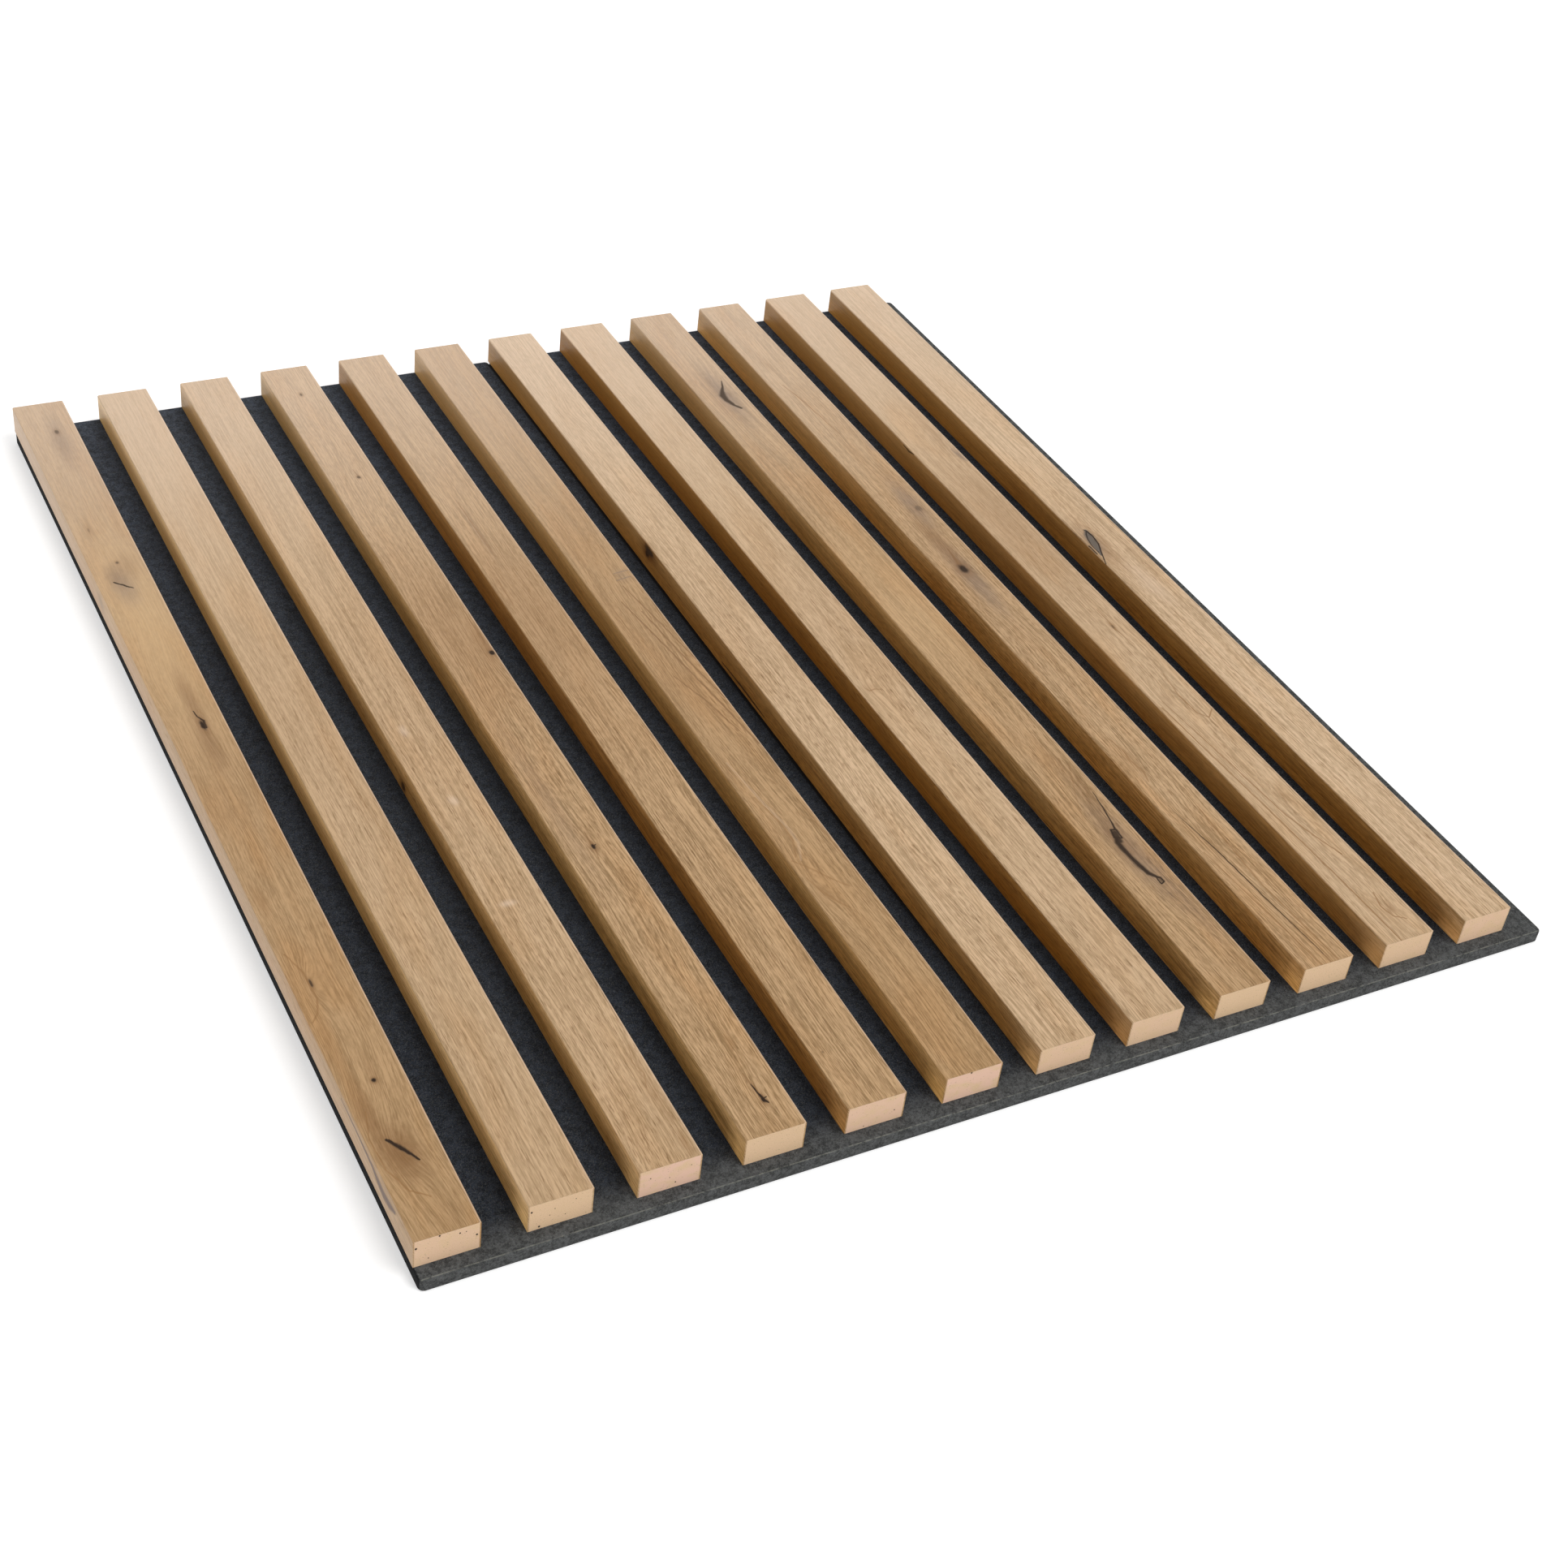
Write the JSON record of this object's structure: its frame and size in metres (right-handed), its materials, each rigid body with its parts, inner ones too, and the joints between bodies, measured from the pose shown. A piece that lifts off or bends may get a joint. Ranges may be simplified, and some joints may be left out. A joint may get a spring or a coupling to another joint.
{
  "type": "acoustic slat wall panel",
  "caption": "Flat wall panel of parallel oak-veneered slats, evenly spaced with open grooves, on a dark felt backing that absorbs sound.",
  "frame": {"origin": "middle of the back face of the felt, the face that goes to the wall", "axes": "+X across the slats to the side with the bare felt strip, +Y along the slats to the end where slats and felt are flush, +Z out of the wall through the slats' faces"},
  "size_m": [0.5996, 0.688, 0.023],
  "materials": {
    "oak_veneer": "knotty oak veneer, brushed and matt oiled",
    "mdf": "raw sawn fibreboard",
    "felt": "pressed polyester felt, charcoal",
    "staple_wire": "zinc-coated steel wire"
  },
  "bodies": {
    "root": {"left_felt_sheet": "felt", "right_felt_sheet": "felt", "left_sheet_staples": "staple_wire", "right_sheet_staples": "staple_wire", "slat_core_01": "mdf", "slat_core_02": "mdf", "slat_core_03": "mdf", "slat_core_04": "mdf", "slat_core_05": "mdf", "slat_core_06": "mdf", "slat_core_07": "mdf", "slat_core_08": "mdf", "slat_core_09": "mdf", "slat_core_10": "mdf", "slat_core_11": "mdf", "slat_core_12": "mdf", "veneer_wrap_01": "oak_veneer", "veneer_wrap_02": "oak_veneer", "veneer_wrap_03": "oak_veneer", "veneer_wrap_04": "oak_veneer", "veneer_wrap_05": "oak_veneer", "veneer_wrap_06": "oak_veneer", "veneer_wrap_07": "oak_veneer", "veneer_wrap_08": "oak_veneer", "veneer_wrap_09": "oak_veneer", "veneer_wrap_10": "oak_veneer", "veneer_wrap_11": "oak_veneer", "veneer_wrap_12": "oak_veneer"}
  },
  "joints": []
}
